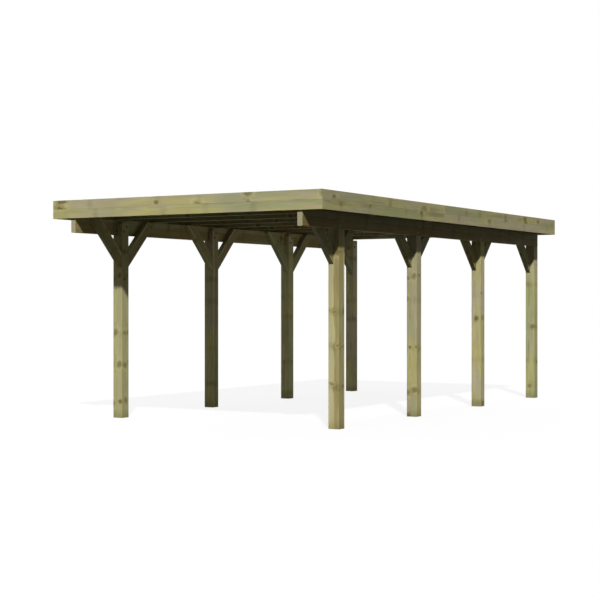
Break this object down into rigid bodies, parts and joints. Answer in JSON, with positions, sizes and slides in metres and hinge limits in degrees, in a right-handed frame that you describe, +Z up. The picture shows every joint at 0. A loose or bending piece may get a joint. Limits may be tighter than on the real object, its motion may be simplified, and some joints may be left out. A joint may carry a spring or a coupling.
{
  "type": "carport",
  "caption": "Open timber carport with a flat roof behind a two-board fascia, on notched posts that carry a purlin on each side, with knee braces.",
  "frame": {"origin": "on the ground, under the middle of the roof", "axes": "+Y from the open front to the rear, +Z up, +X to the right as seen from the front"},
  "size_m": [3.13, 5.9, 2.231],
  "materials": {
    "post_timber": "planed softwood, pressure treated",
    "purlin_timber": "planed softwood, pressure treated",
    "brace_timber": "planed softwood, pressure treated",
    "rafter_timber": "planed softwood, pressure treated",
    "fascia_timber": "planed softwood, pressure treated",
    "roof_metal": "matt coil coating"
  },
  "bodies": {
    "root": {"post_left_1": "post_timber", "post_left_2": "post_timber", "post_left_3": "post_timber", "post_left_4": "post_timber", "post_right_1": "post_timber", "post_right_2": "post_timber", "post_right_3": "post_timber", "post_right_4": "post_timber", "purlin_left": "purlin_timber", "purlin_right": "purlin_timber", "braces_left_1": "brace_timber", "braces_left_2": "brace_timber", "braces_left_3": "brace_timber", "braces_left_4": "brace_timber", "braces_right_1": "brace_timber", "braces_right_2": "brace_timber", "braces_right_3": "brace_timber", "braces_right_4": "brace_timber", "rafter_1": "rafter_timber", "rafter_2": "rafter_timber", "rafter_3": "rafter_timber", "rafter_4": "rafter_timber", "rafter_5": "rafter_timber", "rafter_6": "rafter_timber", "rafter_7": "rafter_timber", "rafter_8": "rafter_timber", "rafter_9": "rafter_timber", "rafter_10": "rafter_timber", "fascia_front_lower": "fascia_timber", "fascia_front_upper": "fascia_timber", "fascia_rear_lower": "fascia_timber", "fascia_rear_upper": "fascia_timber", "fascia_left_front_lower": "fascia_timber", "fascia_left_front_upper": "fascia_timber", "fascia_left_rear_lower": "fascia_timber", "fascia_left_rear_upper": "fascia_timber", "fascia_right_front_lower": "fascia_timber", "fascia_right_front_upper": "fascia_timber", "fascia_right_rear_lower": "fascia_timber", "fascia_right_rear_upper": "fascia_timber", "roof_sheet_1": "roof_metal", "roof_sheet_2": "roof_metal", "roof_sheet_3": "roof_metal"}
  },
  "joints": []
}
